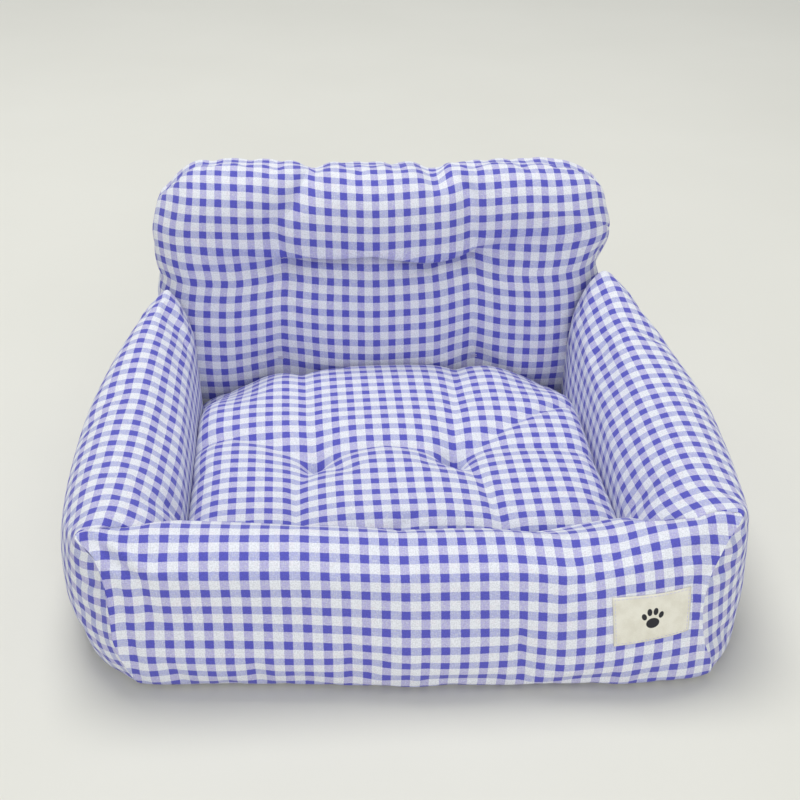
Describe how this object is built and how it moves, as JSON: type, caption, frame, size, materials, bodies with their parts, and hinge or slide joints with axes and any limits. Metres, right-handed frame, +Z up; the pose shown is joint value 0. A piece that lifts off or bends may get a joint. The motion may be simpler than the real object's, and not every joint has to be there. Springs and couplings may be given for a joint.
{
  "type": "pet cushion bed",
  "caption": "Low sofa-shaped pet bed of padded gingham cloth: front wall, arms and tufted backrest round a sleeping well with a loose tufted seat cushion.",
  "frame": {"origin": "middle of the footprint's bounding box, on the surface the bed stands on", "axes": "+Z up; the low front wall with the sewn label faces -Y and the tall backrest is at +Y; +X is to the right of a person who faces the front"},
  "size_m": [0.5676, 0.4893, 0.2703],
  "materials": {
    "gingham": "matte",
    "fibre_fill": "matte",
    "foam": "matte",
    "non_slip_cloth": "matte",
    "lining_cloth": "matte",
    "thread": "matte",
    "zip_tape": "matte",
    "zip_coil": "satin",
    "zip_metal": "satin",
    "label_cloth": "matte",
    "label_satin": "satin"
  },
  "bodies": {
    "surround": {"base_cloth": "non_slip_cloth", "base_pad": "foam", "well_lining": "lining_cloth", "front_wall_cover": "gingham", "front_wall_fill": "fibre_fill", "left_arm_cover": "gingham", "left_arm_fill": "fibre_fill", "right_arm_cover": "gingham", "right_arm_fill": "fibre_fill", "backrest_cover": "gingham", "backrest_fill": "fibre_fill", "backrest_tack_upper_left": "thread", "backrest_tack_upper_right": "thread", "backrest_tack_lower_left": "thread", "backrest_tack_lower_right": "thread", "backrest_zip_tape_upper": "zip_tape", "backrest_zip_tape_lower": "zip_tape", "backrest_zip_coil": "zip_coil", "front_label": "label_cloth", "care_label": "label_satin"},
    "seat_cushion": {"cushion_cover": "gingham", "cushion_fill": "fibre_fill", "cushion_tack_left": "thread", "cushion_tack_right": "thread", "cushion_zip_tape_upper": "zip_tape", "cushion_zip_tape_lower": "zip_tape", "cushion_zip_coil": "zip_coil"},
    "backrest_slider": {"backrest_zip_slider": "zip_metal"},
    "backrest_pull": {"backrest_zip_pull": "zip_metal"},
    "cushion_slider": {"cushion_zip_slider": "zip_metal"},
    "cushion_pull": {"cushion_zip_pull": "zip_metal"}
  },
  "joints": [
    {"name": "cushion_lift", "type": "slide", "parent": "surround", "child": "seat_cushion", "axis": [0, 0, 1], "range_m": [0, 0.26]},
    {"name": "backrest_zip_run", "type": "slide", "parent": "surround", "child": "backrest_slider", "axis": [1, 0, 0], "range_m": [0, 0.208]},
    {"name": "backrest_pull_turn", "type": "hinge", "parent": "backrest_slider", "child": "backrest_pull", "pos_m": [-0.104, 0.2355, 0.031], "axis": [0, 0, -1], "range_deg": [0, 170]},
    {"name": "cushion_zip_run", "type": "slide", "parent": "seat_cushion", "child": "cushion_slider", "axis": [1, 0, 0], "range_m": [0, 0.208]},
    {"name": "cushion_pull_turn", "type": "hinge", "parent": "cushion_slider", "child": "cushion_pull", "pos_m": [-0.104, 0.1435, 0.031], "axis": [0, 0, -1], "range_deg": [0, 15]}
  ]
}
